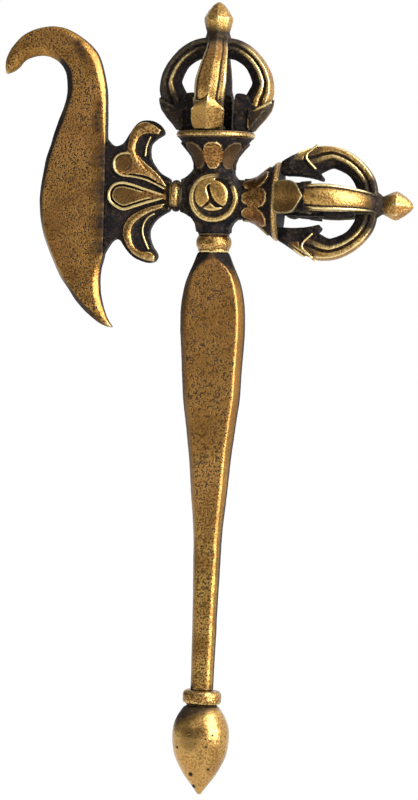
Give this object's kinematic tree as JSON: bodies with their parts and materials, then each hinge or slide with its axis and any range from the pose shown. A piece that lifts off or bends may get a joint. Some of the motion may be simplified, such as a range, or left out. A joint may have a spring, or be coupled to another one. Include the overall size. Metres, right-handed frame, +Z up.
{
  "type": "ritual chopper",
  "caption": "Hand-held brass ritual chopper: crescent blade with a hooked top on a petal palmette, caged prong heads above and beside the hub, long flat-faced grip, bud pommel.",
  "frame": {"origin": "middle of the grip, on the handle's axis", "axes": "+Z up the handle to the upper finial, -X towards the blade, +X towards the side half vajra, -Y out of the front face"},
  "size_m": [0.1045, 0.0292, 0.1985],
  "materials": {
    "aged_brass": "cast brass with brown patina and rubbed edges",
    "worn_brass": "cast brass rubbed bright",
    "dark_brass": "cast brass with near black patina"
  },
  "bodies": {
    "root": {"blade": "aged_brass", "palmette": "aged_brass", "blade_collar": "worn_brass", "hub": "aged_brass", "hub_medallion_front": "worn_brass", "hub_medallion_rear": "worn_brass", "grip_collar": "worn_brass", "grip": "aged_brass", "pommel_ring": "worn_brass", "pommel_bud": "aged_brass", "top_lotus_cup": "aged_brass", "top_cup_rim": "worn_brass", "top_prong_front": "aged_brass", "top_prong_rear": "aged_brass", "top_prong_left": "aged_brass", "top_prong_right": "aged_brass", "top_centre_prong": "dark_brass", "top_finial": "worn_brass", "side_lotus_cup": "aged_brass", "side_cup_rim": "worn_brass", "side_prong_front": "aged_brass", "side_prong_rear": "aged_brass", "side_prong_upper": "aged_brass", "side_prong_lower": "aged_brass", "side_centre_prong": "dark_brass", "side_finial": "worn_brass"}
  },
  "joints": []
}
